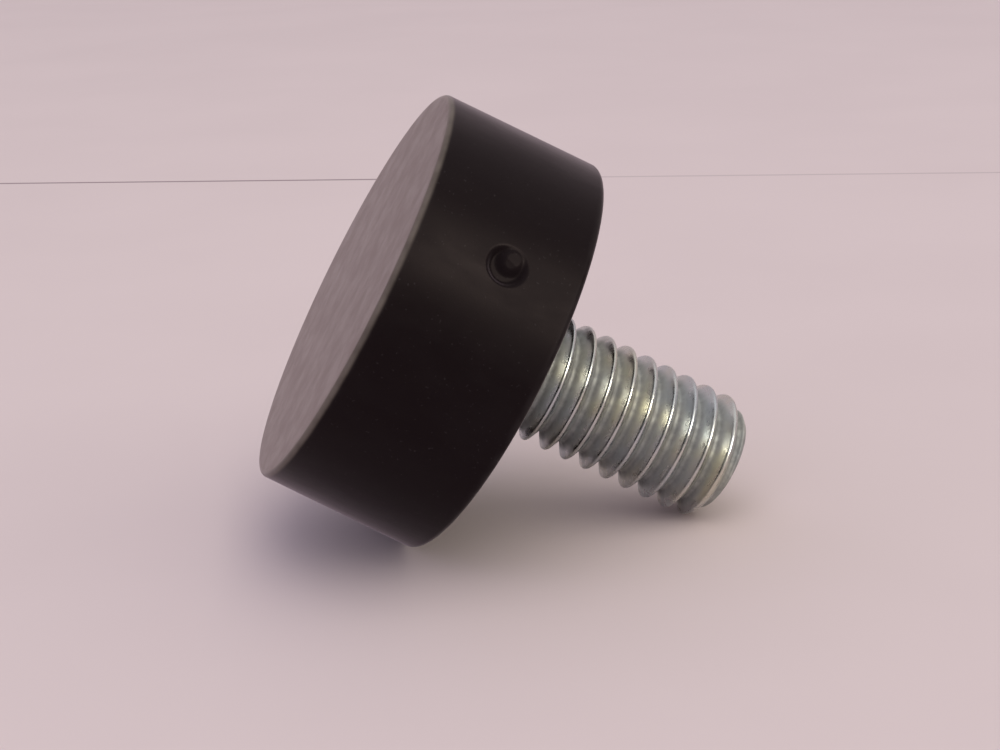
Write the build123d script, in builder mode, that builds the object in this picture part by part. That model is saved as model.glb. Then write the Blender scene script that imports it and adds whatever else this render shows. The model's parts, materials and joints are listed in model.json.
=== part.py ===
"""Furniture leveling foot: a round moulded plastic base with a threaded steel stud insert-moulded in it.

Frame: the origin is at the centre of the sole, the face that stands on the ground, and +Z runs up the stud.
Sizes are in millimetres and angles in degrees.
"""

import os
from math import cos, radians, sin, tan

from build123d import *

# base
base_diameter = 25.4  # across the face on the stud's side
base_thickness = 10.0
draft_angle = 1.5  # the side wall narrows towards the sole
sole_edge_radius = 0.3
rear_edge_radius = 0.35

# gate mark: a round recess in the base's side wall, with the stub of the gate standing in it
gate_height = 5.54  # of the recess's centre, above the sole
gate_azimuth = 5.85  # about +Z, from +X
gate_recess_diameter = 2.3
gate_recess_depth = 0.45
gate_stub_diameter = 1.1
gate_stub_height = 0.3  # above the recess's floor

# stud: a 5/16 in. screw with 18 threads to the inch
inch = 25.4
thread_diameter = 5 / 16 * inch
thread_pitch = inch / 18
stud_length = 15.6  # above the base
first_crest_height = 0.28  # above the base, at azimuth 0
tip_chamfer_angle = 45
tip_chamfer_extra = 0.1  # how far inside the thread's root the lead chamfer reaches

# the unified thread's section in pitches, with its rounded root drawn as a flat
flank_angle = 30
crest_share = 1 / 8
depth_share = 0.6134
blank_share = 0.6495  # how much thinner than the thread the bar that it is rolled on is

# the screw's head, inside the base
head_across_flats = 12.7
head_height = 5.16
head_face_diameter = 12.0  # the turned face inside the corner chamfer
head_chamfer_angle = 30
floor_under_head = 2.2  # plastic between the head and the sole

# thread cutting
spare_turns = 3  # how many turns too long the bar starts, at each end
lead_in_turns = 1  # whole turns of the groove that are cut in the spare lengths
cutter_over_run = 0.06  # how far the groove's cutter stands out of the bar

# worked out
thread_radius = thread_diameter / 2
root_radius = thread_radius - depth_share * thread_pitch
shank_radius = thread_radius - blank_share * thread_pitch / 2
tip_radius = root_radius - tip_chamfer_extra
stud_top = base_thickness + stud_length
head_top = floor_under_head + head_height


# the end of the screw that the plastic is moulded round: a hex head and a plain shank
with BuildPart() as held_end:
    with BuildSketch(Plane.XY.offset(floor_under_head)):
        RegularPolygon(radius=head_across_flats / 2, side_count=6, major_radius=False)
    extrude(amount=head_height)
    # a cone, wide enough to pass the head's corners, chamfers them
    cone_width = head_across_flats - head_face_diameter / 2
    cone_rise = cone_width * tan(radians(head_chamfer_angle))
    with BuildSketch(Plane.XZ):
        with BuildLine():
            Polyline(
                (0, floor_under_head),
                (head_face_diameter / 2, floor_under_head),
                (head_face_diameter / 2 + cone_width, floor_under_head + cone_rise),
                (head_face_diameter / 2 + cone_width, head_top + cone_rise),
                (0, head_top + cone_rise),
                close=True,
            )
        make_face()
    revolve(axis=Axis.Z, mode=Mode.INTERSECT)
    with BuildSketch(Plane.XY.offset(head_top)):
        Circle(shank_radius)
    extrude(amount=base_thickness - head_top)

# base
with BuildPart() as base:
    sole_radius = base_diameter / 2 - base_thickness * tan(radians(draft_angle))
    with BuildSketch(Plane.XZ):
        with BuildLine():
            Polyline(
                (0, 0),
                (sole_radius, 0),
                (base_diameter / 2, base_thickness),
                (0, base_thickness),
                close=True,
            )
        make_face()
    revolve(axis=Axis.Z)
    fillet(base.edges().filter_by(GeomType.CIRCLE).group_by(Axis.Z)[0], radius=sole_edge_radius)
    fillet(base.edges().filter_by(GeomType.CIRCLE).group_by(Axis.Z)[-1], radius=rear_edge_radius)
    # gate mark, cut as a ring round the stub and a disc over it
    gate_wall_radius = sole_radius + gate_height * tan(radians(draft_angle))
    outward = Vector(cos(radians(gate_azimuth)), sin(radians(gate_azimuth)), 0)
    recess_floor = Plane(
        origin=outward * (gate_wall_radius - gate_recess_depth) + Vector(0, 0, gate_height),
        x_dir=(0, 0, 1),
        z_dir=outward,
    )
    with BuildSketch(recess_floor):
        Circle(gate_recess_diameter / 2)
        Circle(gate_stub_diameter / 2, mode=Mode.SUBTRACT)
    extrude(amount=2 * gate_recess_depth, mode=Mode.SUBTRACT)
    with BuildSketch(recess_floor.offset(gate_stub_height)):
        Circle(gate_recess_diameter / 2)
    extrude(amount=2 * gate_recess_depth, mode=Mode.SUBTRACT)
    # the pocket that grips the screw
    add(held_end.part, mode=Mode.SUBTRACT)
base.part.label = "base"

# threaded stud
with BuildPart() as threaded_stud:
    # the bar, with spare length at each end
    with BuildSketch(Plane.XY.offset(base_thickness - spare_turns * thread_pitch)):
        Circle(thread_radius)
    extrude(amount=stud_length + 2 * spare_turns * thread_pitch)
    # the groove starts half a pitch from the crest, and both its ends lie in the spare lengths
    groove_start = base_thickness + first_crest_height - (lead_in_turns + 0.5) * thread_pitch
    groove_half_width = (1 - crest_share) * thread_pitch / 2
    floor_half_width = groove_half_width - (thread_radius - root_radius) * tan(radians(flank_angle))
    mouth_half_width = groove_half_width + cutter_over_run * tan(radians(flank_angle))
    with BuildLine():
        Helix(
            pitch=thread_pitch,
            height=stud_length + (2 * lead_in_turns + 1) * thread_pitch,
            radius=root_radius,
            center=(0, 0, groove_start),
        )
    with BuildSketch(Plane(origin=(0, 0, groove_start), x_dir=(1, 0, 0), z_dir=(0, -1, 0))):
        with BuildLine():
            Polyline(
                (root_radius, -floor_half_width),
                (thread_radius + cutter_over_run, -mouth_half_width),
                (thread_radius + cutter_over_run, mouth_half_width),
                (root_radius, floor_half_width),
                close=True,
            )
        make_face()
    sweep(is_frenet=True, mode=Mode.SUBTRACT)
    # only what lies between the base's face and the chamfered tip is kept
    envelope_radius = thread_radius + thread_pitch
    chamfer_rise = (envelope_radius - tip_radius) / tan(radians(tip_chamfer_angle))
    with BuildSketch(Plane.XZ):
        with BuildLine():
            Polyline(
                (0, base_thickness),
                (envelope_radius, base_thickness),
                (envelope_radius, stud_top - chamfer_rise),
                (tip_radius, stud_top),
                (0, stud_top),
                close=True,
            )
        make_face()
    revolve(axis=Axis.Z, mode=Mode.INTERSECT)
    add(held_end.part)
threaded_stud.part.label = "threaded_stud"

os.makedirs("parts", exist_ok=True)
export_step(base.part, "parts/base.step")
export_step(threaded_stud.part, "parts/threaded_stud.step")
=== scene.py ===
"""A leveling foot for office furniture, lying on a pale table.

The black base is moulded round the head of a zinc plated stud. Geometry Nodes roll the stud's thread.
Everything is in metres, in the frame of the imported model: the sole stands at z = 0, with the stud along +Z.
"""

import json
import math

import bpy
import numpy as np
from mathutils import Matrix, Vector


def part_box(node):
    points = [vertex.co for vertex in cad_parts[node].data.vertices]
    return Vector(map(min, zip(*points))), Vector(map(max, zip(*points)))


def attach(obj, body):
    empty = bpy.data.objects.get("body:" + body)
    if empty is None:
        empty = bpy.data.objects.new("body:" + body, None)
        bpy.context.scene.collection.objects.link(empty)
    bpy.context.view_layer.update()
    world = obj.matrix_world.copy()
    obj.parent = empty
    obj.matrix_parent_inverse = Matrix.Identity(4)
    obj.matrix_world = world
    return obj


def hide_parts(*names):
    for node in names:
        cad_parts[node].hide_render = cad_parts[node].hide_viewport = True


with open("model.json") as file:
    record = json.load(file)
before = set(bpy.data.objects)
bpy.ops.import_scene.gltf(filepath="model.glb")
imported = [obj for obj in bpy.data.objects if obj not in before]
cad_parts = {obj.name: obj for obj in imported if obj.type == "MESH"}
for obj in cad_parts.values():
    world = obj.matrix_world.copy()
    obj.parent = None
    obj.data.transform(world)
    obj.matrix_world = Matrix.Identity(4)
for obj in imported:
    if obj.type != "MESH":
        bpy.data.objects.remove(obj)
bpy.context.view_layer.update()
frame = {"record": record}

bl_info = {
    "name": "Leveling Foot",
    "version": (1, 0, 0),
    "blender": (4, 5, 0),
    "location": "View3D > Sidebar > Leveling Foot",
    "description": "Adds a furniture leveling foot with a moulded base and a threaded stud",
    "category": "Add Mesh",
}

MM = 0.001
INCH = 0.0254
BODY = "root"

FLANK_ANGLE = math.radians(30)  # of the thread, from square to its axis
HEAD_CHAMFER = math.radians(30)  # on the corners of the hex head
BLANK_SHARE = 0.6495  # how much thinner than the thread, in pitches, the bar is that it is rolled on
SAME_ANGLE = 1e-5  # angles nearer than this are taken as one

# how finely the pieces are turned: rings across each face and edge, and points round the axis
SOLE_RINGS = 34
SOLE_EDGE_RINGS = 8
WALL_RINGS = 120
REAR_EDGE_RINGS = 9
REAR_RINGS = 60
GATE_POINTS = 64
WALL_POINTS = 300
TIP_RINGS = 12
RINGS_PER_TURN = 30
BAR_POINTS = 180
HEAD_RINGS = 4

base_low, base_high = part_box("base")
stud_low, stud_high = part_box("threaded_stud")
# the widest radius of the turned base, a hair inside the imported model's facets
base_reach = min(-base_low.x, -base_low.y, base_high.x, base_high.y) - 0.002 * MM
stud_mount = next(m for m in frame["record"]["mounts"] if m["name"] == "stud")


def length(name, default, description):
    """A length property of a piece or of the stage, shown to a hundredth of a millimetre."""
    return bpy.props.FloatProperty(
        name=name, description=description, default=default, unit="LENGTH", precision=5
    )


def colour(name, default, description):
    """A colour property of a piece or of the stage."""
    return bpy.props.FloatVectorProperty(
        name=name, description=description, default=default, subtype="COLOR", size=3, min=0, max=1
    )


def number(name, default, description):
    """A plain number, such as a roughness or a strength."""
    return bpy.props.FloatProperty(name=name, description=description, default=default, precision=3)


def angle(name, default, description):
    """An angle property, given here in degrees."""
    return bpy.props.FloatProperty(
        name=name, description=description, default=math.radians(default), subtype="ANGLE"
    )


def heading(name, default, description):
    """A direction: to the right of the camera, away from it along the table, and up from the table."""
    return bpy.props.FloatVectorProperty(name=name, description=description, default=default, size=3)


# ---------------------------------------------------------------- what a user can set


class BaseSettings(bpy.types.PropertyGroup):
    """The moulded base: a puck that widens a little towards the stud."""

    radius: length("Radius", base_reach, "Widest radius, just under the rounded edge on the stud's side")
    height: length("Height", base_high.z, "From the sole to the face on the stud's side")
    draft: angle("Draft", 1.5, "How much the side wall narrows towards the sole")
    sole_edge: length("Sole Edge", 0.3 * MM, "Radius of the edge round the sole")
    rear_edge: length("Stud Side Edge", 0.35 * MM, "Radius of the edge on the stud's side")
    gate_height: length("Gate Height", 5.54 * MM, "Height of the gate mark's centre above the sole")
    gate_azimuth: angle("Gate Azimuth", 5.85, "Direction of the gate mark about the stud, from +X")
    gate_radius: length("Gate Radius", 1.15 * MM, "Radius of the round recess that the gate broke off in")
    gate_depth: length("Gate Depth", 0.40 * MM, "Depth of that recess")
    stub_radius: length("Stub Radius", 0.55 * MM, "Radius of the broken stub inside the recess")
    stub_height: length("Stub Height", 0.3 * MM, "Height of the stub above the recess's floor")
    gate_torn: length("Gate Torn", 0.3 * MM, "How far off centre the torn stub stands")
    plastic: colour("Plastic", (0.0062, 0.0036, 0.0042), "Colour of the moulded plastic")
    # painted reflection: this colour is paler than wear alone and stands in for the pale table that the sole
    # mirrors
    worn_and_reflection: colour("Worn Sole and Reflection", (0.072, 0.045, 0.037), "Colour of the sole where it is rubbed")
    # painted highlight: a pale warm line where the sole's rounded edge catches the light, in patches
    rim: colour("Rim Highlight", (0.15, 0.125, 0.105), "Colour of the sole's edge, which is rubbed most")
    scuff: colour("Scuff", (0.060, 0.053, 0.054), "Colour of the rubbed edges and of fine dust")
    sheen_tint: colour("Sheen Tint", (1.0, 0.82, 0.85), "Tint of what the clean plastic mirrors")
    roughness: number("Roughness", 0.46, "Roughness of the clean moulded surface")
    bloom: number("Bloom", 0.42, "How much of a dusty bloom shows where the surface is seen edge on")
    bloom_roughness: number("Bloom Roughness", 0.3, "How widely the bloom spreads")
    edge_rub: number("Edge Rub", 0.30, "How far the edges are rubbed to the scuff's colour")
    dust_and_shade: number("Dust and Shade", 0.22, "How strongly the specks of dust show")
    gloss: number("Gloss", 1.16, "Index of refraction, low because the matt plastic mirrors little")
    # this share also sets how much painted reflection of the table the sole gets
    sole_wear_and_reflection: number("Sole Wear and Reflection", 0.8, "How far the sole is rubbed pale")


class StudSettings(bpy.types.PropertyGroup):
    """The screw: hex head and shank inside the base, rolled thread outside it."""

    thread_radius: length("Thread Radius", stud_mount["dims"]["r_mm"] * MM, "Radius over the crests")
    pitch: length("Pitch", INCH / 18, "Distance from one crest to the next")
    first_crest: length("First Crest", 0.28 * MM, "Height of the first crest above the base, at azimuth 0")
    depth: number("Thread Depth", 0.6134, "Depth of the thread, in pitches")
    crest: number("Crest", 0.125, "Width of the flat crest, in pitches")
    rounding: length("Rounding", 0.15 * MM, "How softly the rolled crests and roots are rounded")
    tip_chamfer: angle("Tip Chamfer", 45, "Slope of the lead chamfer")
    tip_inset: length("Tip Inset", 0.1 * MM, "How far inside the thread's root the chamfer ends")
    tip_dish: length("Tip Dish", 0.22 * MM, "Depth of the hollow that thread rolling leaves in the end face")
    head_face: length("Head Face", 6.0 * MM, "Radius of the turned face on the hidden hex head")
    head_height: length("Head Height", 5.16 * MM, "Height of the hidden hex head")
    zinc: colour("Zinc", (0.60, 0.60, 0.57), "Colour of the bright plating")
    blue_film: colour("Blue Film", (0.53, 0.56, 0.585), "Tint of the thin clear passivation")
    gold_film: colour("Gold Film", (0.62, 0.61, 0.52), "Tint of the passivation where it is thicker")
    # also painted shade: this colour darkens the thread's root, where the crests shade it
    dust_and_shade: colour("Dust and Shade", (0.19, 0.19, 0.19), "Colour of the dull salts and dust in the thread's root")
    roughness: number("Roughness", 0.27, "Roughness of the polished crests")
    root_roughness: number("Root Roughness", 0.42, "How much rougher the thread's root is")


class StageSettings(bpy.types.PropertyGroup):
    """The table that the foot lies on, the light and the camera."""

    table: colour("Table", (0.667, 0.560, 0.554), "Colour of the table")
    table_size: length("Table Size", 1.6, "Side of the square table")
    joint: colour("Joint", (0.30, 0.235, 0.245), "Colour of the joint between the table's two boards")
    joint_distance: length("Joint Distance", 110 * MM, "From where the base touches the table to the joint")
    joint_width: length("Joint Width", 0.5 * MM, "Width of the joint")
    joint_angle: angle("Joint Angle", 8.4, "How far the joint is turned from square to the view")
    ceiling: colour("Ceiling", (0.82, 0.80, 0.80), "The pale ceiling that shows in reflections")
    room: colour("Room", (0.13, 0.125, 0.13), "The dim room behind the camera, under the ceiling")
    far_side: colour("Far Side", (0.60, 0.50, 0.51), "The pale surround on the far side of the foot")
    cool: colour("Cool Light", (0.82, 0.79, 1.0), "Tint of the even light from the left, on the sole's side")
    warm: colour("Warm Light", (1.0, 0.98, 0.88), "Tint of the even light from the right, on the stud's side")
    fill: number("Fill", 0.905, "Strength of the even light from all round")
    fill_lean: number("Fill Lean", 0.15, "How much stronger than that it is on the camera's side")
    light_distance: length("Light Distance", 0.45, "From the base to the main light and to the small one")
    key_power: number("Key Power", 0.52, "Power of the large main light, in watts")
    key_size: length("Key Size", 0.42, "Side of the main light")
    key_tint: colour("Key Tint", (1.0, 0.97, 0.90), "Tint of the main light")
    key_heading: heading("Key Heading", (0.08, -0.32, 0.90), "Right, away and up to the main light")
    spot_power: number("Spot Power", 1.85, "Power of the small light that glints on the thread, in watts")
    spot_size: length("Spot Size", 0.17, "Side of the small light")
    spot_tint: colour("Spot Tint", (1.0, 0.95, 0.80), "Tint of the small light")
    spot_heading: heading("Spot Heading", (0.65, -0.595, 0.455), "Right, away and up to the small light")
    lens: number("Lens", 70.2, "Focal length in millimetres on a 36 mm sensor")
    camera_azimuth: angle("Camera Azimuth", 27.042, "Direction of the camera from the sole's centre, from +X")
    camera_elevation: angle("Camera Elevation", -8.141, "Height of the camera over the sole's plane")
    camera_distance: length("Camera Distance", 115.62 * MM, "From the sole's centre to the camera")
    look_azimuth: angle("Look Azimuth", -153.481, "Direction in which the camera looks, from +X")
    look_elevation: angle("Look Elevation", 13.244, "How far up the camera looks")
    roll: angle("Roll", -115.816, "Turn of the camera about its line of sight")


class FootSettings(bpy.types.PropertyGroup):
    """All the settings of the leveling foot."""

    base: bpy.props.PointerProperty(type=BaseSettings)
    stud: bpy.props.PointerProperty(type=StudSettings)
    stage: bpy.props.PointerProperty(type=StageSettings)


# ---------------------------------------------------------------- nodes


def add(tree, kind, inputs=(), **settings):
    """Add a node to a tree. Inputs maps a socket's name or number to a value or to another node's output."""
    node = tree.nodes.new(kind)
    for name, value in settings.items():
        setattr(node, name, value)
    for socket, value in dict(inputs).items():
        if isinstance(value, bpy.types.NodeSocket):
            tree.links.new(value, node.inputs[socket])
        else:
            node.inputs[socket].default_value = value
    return node


def maths(tree, operation, *values):
    """The output of one Math node."""
    return add(tree, "ShaderNodeMath", dict(enumerate(values)), operation=operation).outputs[0]


def ramp(tree, value, low, high, to_low=0.0, to_high=1.0):
    """A value carried smoothly from the range low to high over to another range."""
    inputs = {"Value": value, "From Min": low, "From Max": high, "To Min": to_low, "To Max": to_high}
    return add(tree, "ShaderNodeMapRange", inputs, interpolation_type="SMOOTHSTEP").outputs["Result"]


def mixed(tree, share, first, second):
    """Two colours mixed."""
    node = add(tree, "ShaderNodeMix", data_type="RGBA")
    for socket, value in ((0, share), (6, first), (7, second)):
        if isinstance(value, bpy.types.NodeSocket):
            tree.links.new(value, node.inputs[socket])
        elif socket:
            node.inputs[socket].default_value = (*value, 1)
        else:
            node.inputs[socket].default_value = value
    return node.outputs[2]


def grain(tree, place, scale, detail=2.0, roughness=0.5):
    """Noise from 0 to 1 at a number of bumps to the metre."""
    inputs = {"Vector": place, "Scale": scale, "Detail": detail, "Roughness": roughness}
    return add(tree, "ShaderNodeTexNoise", inputs).outputs[0]


def reach_along(tree, vector, axis):
    """How far a place or a direction reaches along an axis."""
    node = add(tree, "ShaderNodeVectorMath", {0: vector, 1: tuple(axis)}, operation="DOT_PRODUCT")
    return node.outputs["Value"]


def bumps(tree, height, depth, strength, under=None):
    """A surface's direction disturbed by a height, over an earlier disturbance where one is given."""
    inputs = {"Height": height, "Distance": depth, "Strength": strength}
    if under is not None:
        inputs["Normal"] = under
    return add(tree, "ShaderNodeBump", inputs).outputs[0]


def stretched(tree, place, x, y, z):
    """Coordinates scaled along the axes."""
    return add(tree, "ShaderNodeMapping", {"Vector": place, "Scale": (x, y, z)}).outputs[0]


def new_material(name):
    """An empty material with its shader, its object coordinates, and their radius and height."""
    material = bpy.data.materials.new(name)
    material.use_nodes = True
    tree = material.node_tree
    tree.nodes.clear()
    shader = add(tree, "ShaderNodeBsdfPrincipled")
    add(tree, "ShaderNodeOutputMaterial", {"Surface": shader.outputs[0]})
    place = add(tree, "ShaderNodeTexCoord").outputs["Object"]
    parts = add(tree, "ShaderNodeSeparateXYZ", {0: place}).outputs
    squares = [maths(tree, "POWER", part, 2.0) for part in (parts[0], parts[1])]
    radius = maths(tree, "SQRT", maths(tree, "ADD", *squares))
    return material, tree, shader, place, radius, parts[2]


# ---------------------------------------------------------------- finishes


def moulded_plastic(settings):
    """Black injection-moulded plastic: fine grain, flow mottling, rubbed edges and a little dust, a sole
    rubbed pale and painted paler as a painted reflection, and a painted highlight round the sole's edge.
    """
    material, tree, shader, place, radius, height = new_material("moulded_plastic")
    wall_foot = settings.radius - settings.height * math.tan(settings.draft)
    # rubbed edges: near the corner of the sole and the corner on the stud's side
    from_wall_foot = maths(tree, "ABSOLUTE", maths(tree, "SUBTRACT", radius, wall_foot))
    from_sole_edge = maths(tree, "ADD", from_wall_foot, height)
    from_wall_top = maths(tree, "ABSOLUTE", maths(tree, "SUBTRACT", radius, settings.radius))
    from_rear_face = maths(tree, "ABSOLUTE", maths(tree, "SUBTRACT", height, settings.height))
    from_rear_edge = maths(tree, "ADD", from_wall_top, from_rear_face)
    edge = maths(tree, "MINIMUM", from_sole_edge, from_rear_edge)
    patchy = grain(tree, place, 900, 4)
    rub = maths(tree, "MULTIPLY", ramp(tree, edge, 0.6 * MM, 0.05 * MM), ramp(tree, patchy, 0.25, 0.80))
    # mottling, drawn out along the axis
    flow = grain(tree, stretched(tree, place, 1, 1, 0.45), 420, 5, 0.6)
    specks = ramp(tree, grain(tree, place, 5200, 1), 0.70, 0.78)
    rubbed = maths(tree, "MULTIPLY", rub, settings.edge_rub)
    dusty = maths(tree, "MULTIPLY", specks, settings.dust_and_shade)
    share = maths(tree, "MAXIMUM", rubbed, dusty)
    # the sole, which slides on floors, is rubbed pale in cloudy patches, and painted paler still as a painted
    # reflection of the pale table that it mirrors edge on
    on_sole = ramp(tree, height, 0.10 * MM, 0.02 * MM)
    wear_and_reflection = ramp(tree, flow, 0.25, 0.75, settings.sole_wear_and_reflection * 0.75, settings.sole_wear_and_reflection)
    worn_and_reflection = maths(tree, "MULTIPLY", on_sole, wear_and_reflection)
    tint = maths(tree, "ADD", share, maths(tree, "MULTIPLY", ramp(tree, flow, 0.35, 0.75), 0.03))
    wall_colour = mixed(tree, tint, settings.plastic, settings.scuff)
    # painted highlight along the sole's rounded edge, in patches
    near_rim_highlight = ramp(tree, from_sole_edge, 0.42 * MM, 0.12 * MM)
    on_rim_highlight = maths(tree, "MULTIPLY", near_rim_highlight, ramp(tree, patchy, 0.2, 0.7, 0.55, 0.85))
    sole_colour = mixed(tree, worn_and_reflection, wall_colour, settings.worn_and_reflection)
    tree.links.new(mixed(tree, on_rim_highlight, sole_colour, settings.rim), shader.inputs["Base Color"])
    rough = ramp(tree, flow, 0.3, 0.7, settings.roughness - 0.06, settings.roughness + 0.08)
    smoothed = maths(tree, "SUBTRACT", rough, maths(tree, "MULTIPLY", on_sole, 0.12))
    roughened = maths(tree, "ADD", smoothed, maths(tree, "MULTIPLY", rub, 0.12))
    tree.links.new(roughened, shader.inputs["Roughness"])
    shader.inputs["IOR"].default_value = settings.gloss
    shader.inputs["Specular Tint"].default_value = (*settings.sheen_tint, 1)
    shader.inputs["Sheen Weight"].default_value = settings.bloom
    shader.inputs["Sheen Tint"].default_value = (*settings.sheen_tint, 1)
    shader.inputs["Sheen Roughness"].default_value = settings.bloom_roughness
    fine = bumps(tree, grain(tree, place, 14000, 2), 0.006 * MM, 0.5)
    broad = bumps(tree, flow, 0.02 * MM, 0.35, under=fine)
    tree.links.new(broad, shader.inputs["Normal"])
    return material


def zinc_plate(settings):
    """Bright zinc with a thin clear passivation, which tints it from blue to straw yellow."""
    material, tree, shader, place, radius, _ = new_material("zinc_plate")
    root = settings.thread_radius - settings.depth * settings.pitch
    film = grain(tree, place, 260, 3, 0.55)
    cloudy = grain(tree, place, 1500, 4, 0.6)
    blue = mixed(tree, ramp(tree, film, 0.42, 0.62), settings.zinc, settings.blue_film)
    gold = mixed(tree, ramp(tree, film, 0.47, 0.30), blue, settings.gold_film)
    # the roots keep dull plating salts and shop dust, which scatter light, and are painted darker as painted
    # shade where the crests shade them; the crests are polished
    in_root = ramp(tree, radius, root + 0.6 * MM, root + 0.05 * MM)
    dull_and_shaded = maths(tree, "MULTIPLY", in_root, ramp(tree, cloudy, 0.2, 0.7, 0.45, 0.9))
    tree.links.new(mixed(tree, dull_and_shaded, gold, settings.dust_and_shade), shader.inputs["Base Color"])
    tree.links.new(ramp(tree, dull_and_shaded, 0, 1, 1.0, 0.3), shader.inputs["Metallic"])
    rough = ramp(tree, cloudy, 0.3, 0.7, settings.roughness - 0.06, settings.roughness + 0.1)
    roughened = maths(tree, "ADD", rough, maths(tree, "MULTIPLY", in_root, settings.root_roughness))
    tree.links.new(roughened, shader.inputs["Roughness"])
    fine = bumps(tree, grain(tree, place, 9000, 3), 0.004 * MM, 0.5)
    # rolling marks run round the axis
    marks = grain(tree, stretched(tree, place, 1, 1, 6), 1400, 2)
    rolled = bumps(tree, marks, 0.01 * MM, 0.3, under=fine)
    tree.links.new(rolled, shader.inputs["Normal"])
    return material


def table_top(stage, touching, across_joint, right):
    """A pale matt table with a fine joint. It shows from above only, so that it hides nothing from below."""
    material = bpy.data.materials.new("table_top")
    material.use_nodes = True
    tree = material.node_tree
    tree.nodes.clear()
    place = add(tree, "ShaderNodeTexCoord").outputs["Object"]
    middle = touching.dot(across_joint) + stage.joint_distance
    past_middle = maths(tree, "SUBTRACT", reach_along(tree, place, across_joint), middle)
    off_joint = maths(tree, "ABSOLUTE", past_middle)
    in_joint = ramp(tree, off_joint, stage.joint_width, 0.2 * stage.joint_width)
    # the joint closes towards the right
    foot = touching.dot(right)
    opening = ramp(tree, reach_along(tree, place, right), foot - 2 * MM, foot + 14 * MM, 1.0, 0.35)
    open_joint = maths(tree, "MULTIPLY", in_joint, opening)
    clouds = ramp(tree, grain(tree, place, 40, 3), 0.2, 0.8, 0.0, 0.05)
    cloudy = mixed(tree, clouds, stage.table, stage.joint)
    matt = add(tree, "ShaderNodeBsdfDiffuse", {"Color": mixed(tree, open_joint, cloudy, stage.joint)})
    clear = add(tree, "ShaderNodeBsdfTransparent")
    below = add(tree, "ShaderNodeNewGeometry").outputs["Backfacing"]
    shown = add(tree, "ShaderNodeMixShader", {0: below, 1: matt.outputs[0], 2: clear.outputs[0]})
    add(tree, "ShaderNodeOutputMaterial", {"Surface": shown.outputs[0]})
    return material


# ---------------------------------------------------------------- turned meshes


def turned_mesh(name, rings, angles, relief=None):
    """A closed mesh turned about Z. A ring is (radius, height), and its radius can depend on the angle.

    The first and last rings have no radius and become poles. Relief moves each point after it is placed.
    """
    columns = len(angles)
    points = [Vector((0, 0, rings[0][1]))]
    for radius, height in rings[1:-1]:
        for turn in angles:
            reach = radius(turn) if callable(radius) else radius
            points.append(Vector((reach * math.cos(turn), reach * math.sin(turn), height)))
    points.append(Vector((0, 0, rings[-1][1])))
    if relief:
        points = [relief(point) for point in points]
    last = len(points) - 1
    faces = []
    for column in range(columns):
        following = (column + 1) % columns
        faces.append((0, 1 + following, 1 + column))
        for ring in range(len(rings) - 3):
            start = 1 + ring * columns
            here, beside = start + column, start + following
            faces.append((here, beside, beside + columns, here + columns))
        start = 1 + (len(rings) - 3) * columns
        faces.append((start + column, start + following, last))
    mesh = bpy.data.meshes.new(name)
    mesh.from_pydata(points, [], faces)
    mesh.validate()
    mesh.shade_smooth()
    return mesh


def even(first, last, steps):
    """Evenly spaced values, both ends included."""
    return [first + (last - first) * step / steps for step in range(steps + 1)]


def arc(centre_radius, centre_height, radius, first, last, steps):
    """Rings round an edge, from one angle to another in degrees, measured from +X towards +Z."""
    turns = [math.radians(a) for a in even(first, last, steps)]
    return [(centre_radius + radius * math.cos(t), centre_height + radius * math.sin(t)) for t in turns]


def hexagon(across_flats, limit):
    """The radius of a hexagon with a corner on +X, as a function of the angle, cut off at a limit."""
    def radius(turn):
        from_flat = math.degrees(turn) % 60 - 30
        return min(across_flats / 2 / math.cos(math.radians(from_flat)), limit)
    return radius


def head_rings(stud, foot, top):
    """Rings up the hex head, whose corners are chamfered."""
    across = stud_high.y - stud_low.y
    corner = across / 2 / math.cos(math.radians(30))
    slope = math.tan(HEAD_CHAMFER)
    rings = []
    for height in even(foot, foot + (corner - stud.head_face) * slope, HEAD_RINGS):
        rings.append((hexagon(across, stud.head_face + (height - foot) / slope), height))
    rings.append((hexagon(across, corner), top))
    return rings


def shank_radius(stud):
    """The radius of the plain shank, which is the bar that the thread is rolled on."""
    return stud.thread_radius - BLANK_SHARE * stud.pitch / 2


def tip_radius(stud):
    """The radius of the end face, inside the thread's root."""
    return stud.thread_radius - stud.depth * stud.pitch - stud.tip_inset


def smooth_step(value, low, high):
    """0 below low, 1 above high, and a smooth slope between."""
    share = min(max((value - low) / (high - low), 0), 1)
    return share * share * (3 - 2 * share)


# ---------------------------------------------------------------- base


def base_rings(base, stud):
    """Rings over the sole, up the wall, over the stud's side and into the pocket that grips the screw."""
    slope = math.tan(base.draft)
    lean = math.degrees(base.draft)
    rear_centre = Vector((base.radius - base.rear_edge, base.height - base.rear_edge))

    def wall(height):
        return rear_centre.x + base.rear_edge / math.cos(base.draft) + (height - rear_centre.y) * slope

    sole_centre = wall(base.sole_edge) - base.sole_edge / math.cos(base.draft)
    rings = [(0, 0)]
    rings += [(r, 0) for r in even(0, sole_centre, SOLE_RINGS)[1:]]
    rings += arc(sole_centre, base.sole_edge, base.sole_edge, -90, -lean, SOLE_EDGE_RINGS)[1:]
    rings += [(wall(height), height) for height in even(base.sole_edge, rear_centre.y, WALL_RINGS)[1:-1]]
    rings += arc(rear_centre.x, rear_centre.y, base.rear_edge, -lean, 90, REAR_EDGE_RINGS)
    shank = shank_radius(stud)
    rings += [(r, base.height) for r in even(rear_centre.x, shank, REAR_RINGS)[1:]]
    head_top = stud_low.z + stud.head_height
    rings += [(shank, head_top)]
    rings += reversed(head_rings(stud, stud_low.z, head_top))
    rings += [(0, stud_low.z)]
    return rings


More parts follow.
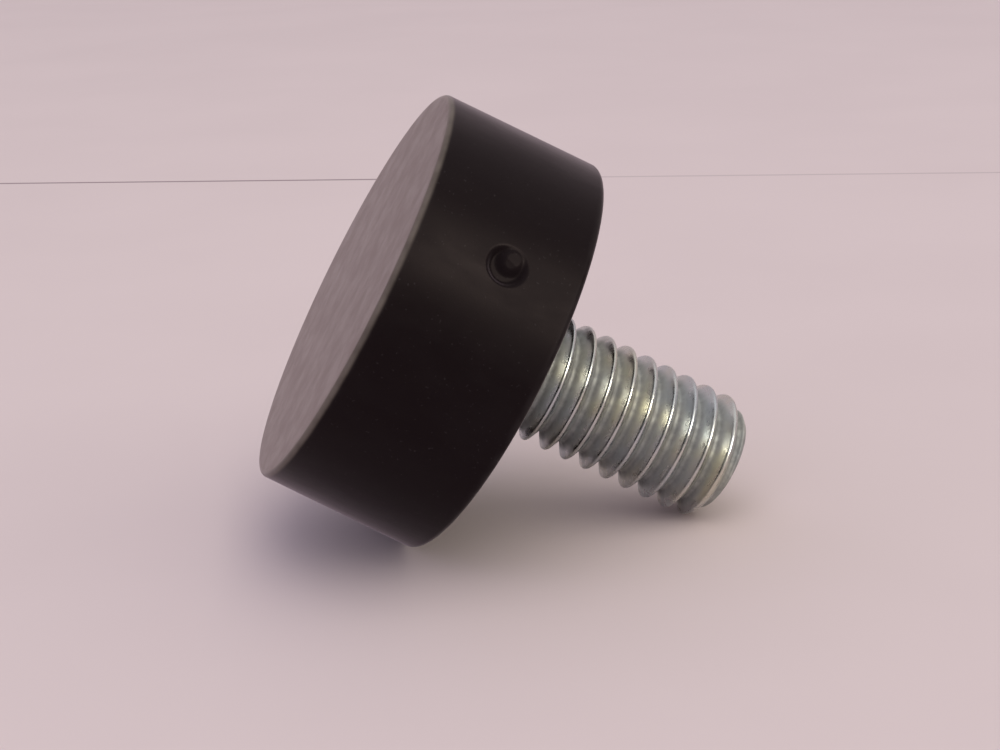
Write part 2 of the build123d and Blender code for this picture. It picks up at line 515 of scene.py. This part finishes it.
def gate_relief(base):
    """Returns what sinks the gate mark into the wall: a hollow, deepest on one side, round a torn stub."""
    middle = Vector((math.cos(base.gate_azimuth), math.sin(base.gate_azimuth), 0))
    across = Vector((-middle.y, middle.x, 0))
    torn_across, torn_up = -0.92, 0.385  # the direction in which the gate was pulled off
    lost_depth = 0.75  # how much of the hollow's depth is missing on that side
    hollow_wall = (base.gate_radius - 0.35 * MM, base.gate_radius + 0.1 * MM)
    stub_wall = (base.stub_radius - 0.25 * MM, base.stub_radius + 0.3 * MM)
    torn_slope = (-0.2 * MM, base.gate_radius)
    outermost = 0.8 * base.radius  # only the wall beyond this, towards the gate, is sunk
    margin = 0.5 * MM  # the wall's edges stay as they are

    def relief(point):
        height = point.z
        if point.dot(middle) < outermost or not margin < height < base.height - margin:
            return point
        side = point.dot(across)
        rise = height - base.gate_height
        reach = math.hypot(side, rise)
        pulled = side * torn_across + rise * torn_up
        hollow = base.gate_depth * (1 - smooth_step(reach, *hollow_wall))
        hollow *= 1 - lost_depth * smooth_step(pulled, *torn_slope)
        from_stub = math.hypot(side - base.gate_torn * torn_across, rise - base.gate_torn * torn_up)
        stub = base.stub_height * (1 - smooth_step(from_stub, *stub_wall))
        return point - middle * (hollow - min(stub, hollow))

    return relief


def base_angles(base):
    """Angles round the base, close together at the gate mark, with the hex head's corners among them."""
    near = (base.gate_radius + 0.25 * MM) / base.radius
    first, last = base.gate_azimuth - near, base.gate_azimuth + near
    turns = even(first, last, GATE_POINTS) + even(last, first + 2 * math.pi, WALL_POINTS)[1:-1]
    corners = [math.radians(60 * k) for k in range(6)]
    # a corner that falls on another angle isn't doubled
    return sorted(turns + [c for c in corners if all(abs(c - turn) > SAME_ANGLE for turn in turns)])


def make_base(context):
    """The moulded base, in one closed mesh."""
    settings = context.scene.leveling_foot
    base = settings.base
    rings = base_rings(base, settings.stud)
    mesh = turned_mesh("base_moulding", rings, base_angles(base), gate_relief(base))
    piece = bpy.data.objects.new("base_moulding", mesh)
    context.scene.collection.objects.link(piece)
    mesh.materials.append(moulded_plastic(base))
    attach(piece, BODY)
    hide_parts("base")
    return piece


# ---------------------------------------------------------------- stud


def blank_mesh(base, stud):
    """The screw before its thread is rolled: hex head, shank and a plain bar. Points to roll are marked."""
    head_foot = stud_low.z
    head_top = head_foot + stud.head_height
    shank = shank_radius(stud)
    tip = stud_high.z
    rings = [(0, head_foot)]
    rings += head_rings(stud, head_foot, head_top)
    # the shank ends a hair inside the base, and the bar that is to be rolled starts at its face
    sunk = 0.02 * MM
    rings += [(shank, head_top), (shank, base.height - sunk)]
    rows = round((tip - base.height) / stud.pitch * RINGS_PER_TURN)
    rings += [(stud.thread_radius, height) for height in even(base.height, tip, rows)]
    # the end face, dished by the rolling
    for share in even(1, 0, TIP_RINGS)[1:-1]:
        dish = stud.tip_dish * (1 - smooth_step(share, 0.15, 0.95))
        rings.append((tip_radius(stud) * share, tip - dish))
    rings += [(0, tip - stud.tip_dish)]
    angles = even(0, 2 * math.pi, BAR_POINTS)[:-1]
    mesh = turned_mesh("stud_blank", rings, angles)
    mark = mesh.attributes.new("to_roll", "FLOAT", "POINT")
    coordinates = np.empty(len(mesh.vertices) * 3)
    mesh.vertices.foreach_get("co", coordinates)
    points = coordinates.reshape(-1, 3)
    on_bar = np.hypot(points[:, 0], points[:, 1]) > stud.thread_radius * 0.999
    mark.data.foreach_set("value", (on_bar & (points[:, 2] > base.height - sunk / 2)).astype(np.float32))
    return mesh


def rolling_tree(material):
    """Geometry Nodes that roll a right-hand thread on the marked part of a bar and chamfer its tip."""
    tree = bpy.data.node_groups.new("Rolled Thread", "GeometryNodeTree")
    tree.is_modifier = True
    tree.interface.new_socket("Geometry", in_out="INPUT", socket_type="NodeSocketGeometry")
    tree.interface.new_socket("Geometry", in_out="OUTPUT", socket_type="NodeSocketGeometry")
    names = (
        "Radius", "Pitch", "Depth", "Crest", "First Crest Height", "Rounding",
        "Tip Height", "Tip Radius", "Chamfer Slope",
    )
    for name in names:
        tree.interface.new_socket(name, in_out="INPUT", socket_type="NodeSocketFloat")
    given = add(tree, "NodeGroupInput").outputs
    position = add(tree, "GeometryNodeInputPosition").outputs[0]
    parts = add(tree, "ShaderNodeSeparateXYZ", {0: position}).outputs
    turn = maths(tree, "DIVIDE", maths(tree, "ARCTAN2", parts[1], parts[0]), 2 * math.pi)
    above_first = maths(tree, "SUBTRACT", parts[2], given["First Crest Height"])
    rise = maths(tree, "DIVIDE", above_first, given["Pitch"])
    # how far a point is from the middle of the nearest crest, along the axis
    turns_off = maths(tree, "PINGPONG", maths(tree, "SUBTRACT", rise, turn), 0.5)
    from_crest = maths(tree, "MULTIPLY", turns_off, given["Pitch"])
    past_flat = maths(tree, "SUBTRACT", from_crest, maths(tree, "DIVIDE", given["Crest"], 2.0))
    flank = maths(tree, "DIVIDE", past_flat, math.tan(FLANK_ANGLE))
    crested = maths(tree, "SMOOTH_MAX", flank, 0.0, given["Rounding"])
    drop = maths(tree, "SMOOTH_MIN", crested, given["Depth"], given["Rounding"])
    threaded = maths(tree, "SUBTRACT", given["Radius"], drop)
    below_tip = maths(tree, "SUBTRACT", given["Tip Height"], parts[2])
    widening = maths(tree, "MULTIPLY", below_tip, given["Chamfer Slope"])
    chamfer = maths(tree, "ADD", given["Tip Radius"], widening)
    radius = maths(tree, "SMOOTH_MIN", threaded, chamfer, given["Rounding"])
    level = add(tree, "ShaderNodeCombineXYZ", {0: parts[0], 1: parts[1]}).outputs[0]
    spoke = add(tree, "ShaderNodeVectorMath", {0: level}, operation="NORMALIZE").outputs[0]
    outwards = add(tree, "ShaderNodeVectorMath", {0: spoke, "Scale": radius}, operation="SCALE").outputs[0]
    height = add(tree, "ShaderNodeCombineXYZ", {2: parts[2]}).outputs[0]
    rolled = add(tree, "ShaderNodeVectorMath", {0: outwards, 1: height}, operation="ADD").outputs[0]
    marked = add(tree, "GeometryNodeInputNamedAttribute", {"Name": "to_roll"}, data_type="FLOAT").outputs[0]
    chosen = add(
        tree, "FunctionNodeCompare", {0: marked, 1: 0.5}, data_type="FLOAT", operation="GREATER_THAN"
    )
    placing = {"Geometry": given["Geometry"], "Selection": chosen.outputs[0], "Position": rolled}
    moved = add(tree, "GeometryNodeSetPosition", placing)
    real = add(tree, "GeometryNodeRealizeInstances", {0: moved.outputs[0]})
    finished = add(tree, "GeometryNodeSetMaterial", {0: real.outputs[0], "Material": material})
    add(tree, "NodeGroupOutput", {0: finished.outputs[0]})
    return tree


def baked(context, blank, tree, values, name):
    """The plain mesh that a tree makes of a blank."""
    worker = bpy.data.objects.new(name, blank)
    context.scene.collection.objects.link(worker)
    modifier = worker.modifiers.new("tree", "NODES")
    modifier.node_group = tree
    for socket in tree.interface.items_tree:
        if socket.in_out == "INPUT" and socket.name in values:
            modifier[socket.identifier] = float(values[socket.name])
    context.view_layer.update()
    graph = context.evaluated_depsgraph_get()
    mesh = bpy.data.meshes.new_from_object(worker.evaluated_get(graph), depsgraph=graph)
    bpy.data.objects.remove(worker)
    mesh.name = name
    return mesh


def make_stud(context):
    """The zinc plated screw, in one closed mesh."""
    settings = context.scene.leveling_foot
    base = settings.base
    stud = settings.stud
    values = {
        "Radius": stud.thread_radius,
        "Pitch": stud.pitch,
        "Depth": stud.depth * stud.pitch,
        "Crest": stud.crest * stud.pitch,
        "First Crest Height": base.height + stud.first_crest,
        "Rounding": stud.rounding,
        "Tip Height": stud_high.z,
        "Tip Radius": tip_radius(stud),
        "Chamfer Slope": math.tan(stud.tip_chamfer),
    }
    tree = rolling_tree(zinc_plate(stud))
    mesh = baked(context, blank_mesh(base, stud), tree, values, "stud_screw")
    mesh.shade_smooth()
    piece = bpy.data.objects.new("stud_screw", mesh)
    context.scene.collection.objects.link(piece)
    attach(piece, BODY)
    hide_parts("threaded_stud")
    return piece


# ---------------------------------------------------------------- stage


def direction(azimuth, elevation):
    """A unit vector from its azimuth about +Z and its elevation."""
    flat = math.cos(elevation)
    return Vector((flat * math.cos(azimuth), flat * math.sin(azimuth), math.sin(elevation)))


# the foot lies on this side of its rim
LYING_SIDE = direction(math.radians(128.6), 0)


def table_plane(base, stud):
    """A point on the table and its upward normal: it touches the base's edge and the last full crest."""
    edge_centre = Vector((base.radius - base.rear_edge, base.height - base.rear_edge))
    chamfer_rise = (stud.thread_radius - tip_radius(stud)) / math.tan(stud.tip_chamfer)
    crest = Vector((stud.thread_radius, stud_high.z - chamfer_rise))
    along = crest - edge_centre
    tilt = math.atan2(-along.x, along.y) + math.asin(base.rear_edge / along.length)
    down = LYING_SIDE * math.cos(tilt) + Vector((0, 0, math.sin(tilt)))
    touching = LYING_SIDE * edge_centre.x + Vector((0, 0, edge_centre.y)) + down * base.rear_edge
    return touching, -down


def level_axes(stage, up):
    """The directions along the table: away from the camera, and to its right."""
    look = direction(stage.look_azimuth, stage.look_elevation)
    ahead = (look - up * look.dot(up)).normalized()
    return ahead, ahead.cross(up)


def make_table(context):
    """The pale table under the lying foot. Returns the direction that is up from it."""
    settings = context.scene.leveling_foot
    stage = settings.stage
    touching, up = table_plane(settings.base, settings.stud)
    ahead, right = level_axes(stage, up)
    across_joint = ahead * math.cos(stage.joint_angle) + right * math.sin(stage.joint_angle)
    along = Vector((0, 0, 1)).cross(up).normalized()
    across = up.cross(along)
    half = stage.table_size / 2
    square = ((-1, -1), (1, -1), (1, 1), (-1, 1))
    corners = [touching + along * x * half + across * y * half for x, y in square]
    mesh = bpy.data.meshes.new("table")
    mesh.from_pydata(corners, [], [(0, 1, 2, 3)])
    mesh.materials.append(table_top(stage, touching, across_joint, right))
    table = bpy.data.objects.new("table", mesh)
    context.scene.collection.objects.link(table)
    return up


def light(context, name, place, target, power, size, tint, only_mirrored=False):
    """A square area light that faces a point. Either it shows in reflections only, or it shows in none."""
    lamp = bpy.data.lights.new(name, "AREA")
    lamp.energy = power
    lamp.size = size
    lamp.color = tint
    holder = bpy.data.objects.new(name, lamp)
    holder.location = place
    holder.rotation_euler = (target - place).to_track_quat("-Z", "Y").to_euler()
    holder.visible_glossy = only_mirrored
    holder.visible_diffuse = not only_mirrored
    context.scene.collection.objects.link(holder)


def make_camera(context, stage):
    """The camera, rolled because the foot lies on its side."""
    data = bpy.data.cameras.new("camera")
    data.lens = stage.lens
    data.sensor_width = 36
    data.clip_start = 0.005
    data.clip_end = 10
    camera = bpy.data.objects.new("camera", data)
    ahead = direction(stage.look_azimuth, stage.look_elevation)
    upright = (Vector((0, 0, 1)) - ahead * ahead.z).normalized()
    side = ahead.cross(upright)
    up = upright * math.cos(stage.roll) + side * math.sin(stage.roll)
    right = ahead.cross(up)
    turn = Matrix((right, up, -ahead)).transposed().to_4x4()
    place = direction(stage.camera_azimuth, stage.camera_elevation) * stage.camera_distance
    camera.matrix_world = Matrix.Translation(place) @ turn
    context.scene.collection.objects.link(camera)
    context.scene.camera = camera


def make_world(context, stage, up):
    """Even light from all round, and for reflections a dim room under a pale ceiling."""
    world = bpy.data.worlds.new("surround")
    world.use_nodes = True
    tree = world.node_tree
    tree.nodes.clear()
    path = add(tree, "ShaderNodeLightPath").outputs
    mirrored = maths(tree, "MAXIMUM", path["Is Glossy Ray"], path["Is Transmission Ray"])
    seen = maths(tree, "MAXIMUM", path["Is Camera Ray"], mirrored)
    towards = add(tree, "ShaderNodeTexCoord").outputs["Generated"]
    ahead, right = level_axes(stage, up)
    away = reach_along(tree, towards, ahead)
    sides = mixed(tree, ramp(tree, away, -0.25, 0.35), stage.room, stage.far_side)
    around = mixed(tree, ramp(tree, reach_along(tree, towards, up), 0.50, 0.90), sides, stage.ceiling)
    tinted = mixed(tree, ramp(tree, reach_along(tree, towards, right), -0.5, 0.5), stage.cool, stage.warm)
    # a little more of the even light comes from the camera's side
    most, least = stage.fill * (1 + stage.fill_lean), stage.fill * (1 - stage.fill_lean)
    strength = ramp(tree, away, -0.7, 0.7, most, least)
    even_light = add(tree, "ShaderNodeBackground", {"Color": tinted, "Strength": strength})
    backdrop = add(tree, "ShaderNodeBackground", {"Color": around, "Strength": 1.0})
    shown = add(tree, "ShaderNodeMixShader", {0: seen, 1: even_light.outputs[0], 2: backdrop.outputs[0]})
    add(tree, "ShaderNodeOutputWorld", {"Surface": shown.outputs[0]})
    context.scene.world = world


# ---------------------------------------------------------------- operators and panel


class LEVELINGFOOT_OT_base(bpy.types.Operator):
    """Add the moulded base"""

    bl_idname = "mesh.leveling_foot_base"
    bl_label = "Moulded Base"
    bl_options = {"REGISTER", "UNDO"}

    def execute(self, context):
        make_base(context)
        return {"FINISHED"}


class LEVELINGFOOT_OT_stud(bpy.types.Operator):
    """Add the zinc plated stud with its rolled thread"""

    bl_idname = "mesh.leveling_foot_stud"
    bl_label = "Threaded Stud"
    bl_options = {"REGISTER", "UNDO"}

    def execute(self, context):
        make_stud(context)
        return {"FINISHED"}


class LEVELINGFOOT_OT_stage(bpy.types.Operator):
    """Add the table, the light and the camera"""

    bl_idname = "scene.leveling_foot_stage"
    bl_label = "Table and Light"
    bl_options = {"REGISTER", "UNDO"}

    def execute(self, context):
        stage = context.scene.leveling_foot.stage
        up = make_table(context)
        target = Vector((0, 0, base_high.z))
        ahead, right = level_axes(stage, up)
        axes = Matrix((right, ahead, up)).transposed()
        # from above, a little from the camera's side
        key = target + (axes @ Vector(stage.key_heading)).normalized() * stage.light_distance
        light(context, "key", key, target, stage.key_power, stage.key_size, stage.key_tint)
        # to the right, where the crests of the thread mirror it
        spot = target + (axes @ Vector(stage.spot_heading)).normalized() * stage.light_distance
        light(context, "spot", spot, target, stage.spot_power, stage.spot_size, stage.spot_tint,
              only_mirrored=True)
        make_world(context, stage, up)
        make_camera(context, stage)
        context.scene.view_settings.view_transform = "Standard"
        return {"FINISHED"}


class LEVELINGFOOT_PT_sidebar(bpy.types.Panel):
    """The leveling foot's sizes and finishes"""

    bl_label = "Leveling Foot"
    bl_idname = "LEVELINGFOOT_PT_sidebar"
    bl_space_type = "VIEW_3D"
    bl_region_type = "UI"
    bl_category = "Leveling Foot"

    def draw(self, context):
        settings = context.scene.leveling_foot
        for title, group, operator in (
            ("Base", settings.base, LEVELINGFOOT_OT_base.bl_idname),
            ("Stud", settings.stud, LEVELINGFOOT_OT_stud.bl_idname),
            ("Stage", settings.stage, LEVELINGFOOT_OT_stage.bl_idname),
        ):
            box = self.layout.box()
            box.label(text=title)
            for name in group.__annotations__:
                box.prop(group, name)
            box.operator(operator)


CLASSES = (
    BaseSettings,
    StudSettings,
    StageSettings,
    FootSettings,
    LEVELINGFOOT_OT_base,
    LEVELINGFOOT_OT_stud,
    LEVELINGFOOT_OT_stage,
    LEVELINGFOOT_PT_sidebar,
)


def register():
    for cls in CLASSES:
        bpy.utils.register_class(cls)
    bpy.types.Scene.leveling_foot = bpy.props.PointerProperty(type=FootSettings)


def unregister():
    del bpy.types.Scene.leveling_foot
    for cls in reversed(CLASSES):
        bpy.utils.unregister_class(cls)


def main():
    """Make the foot and its stage."""
    register()
    bpy.ops.scene.leveling_foot_stage()
    bpy.ops.mesh.leveling_foot_base()
    bpy.ops.mesh.leveling_foot_stud()
    bpy.context.view_layer.update()


if __name__ == "__main__":
    main()
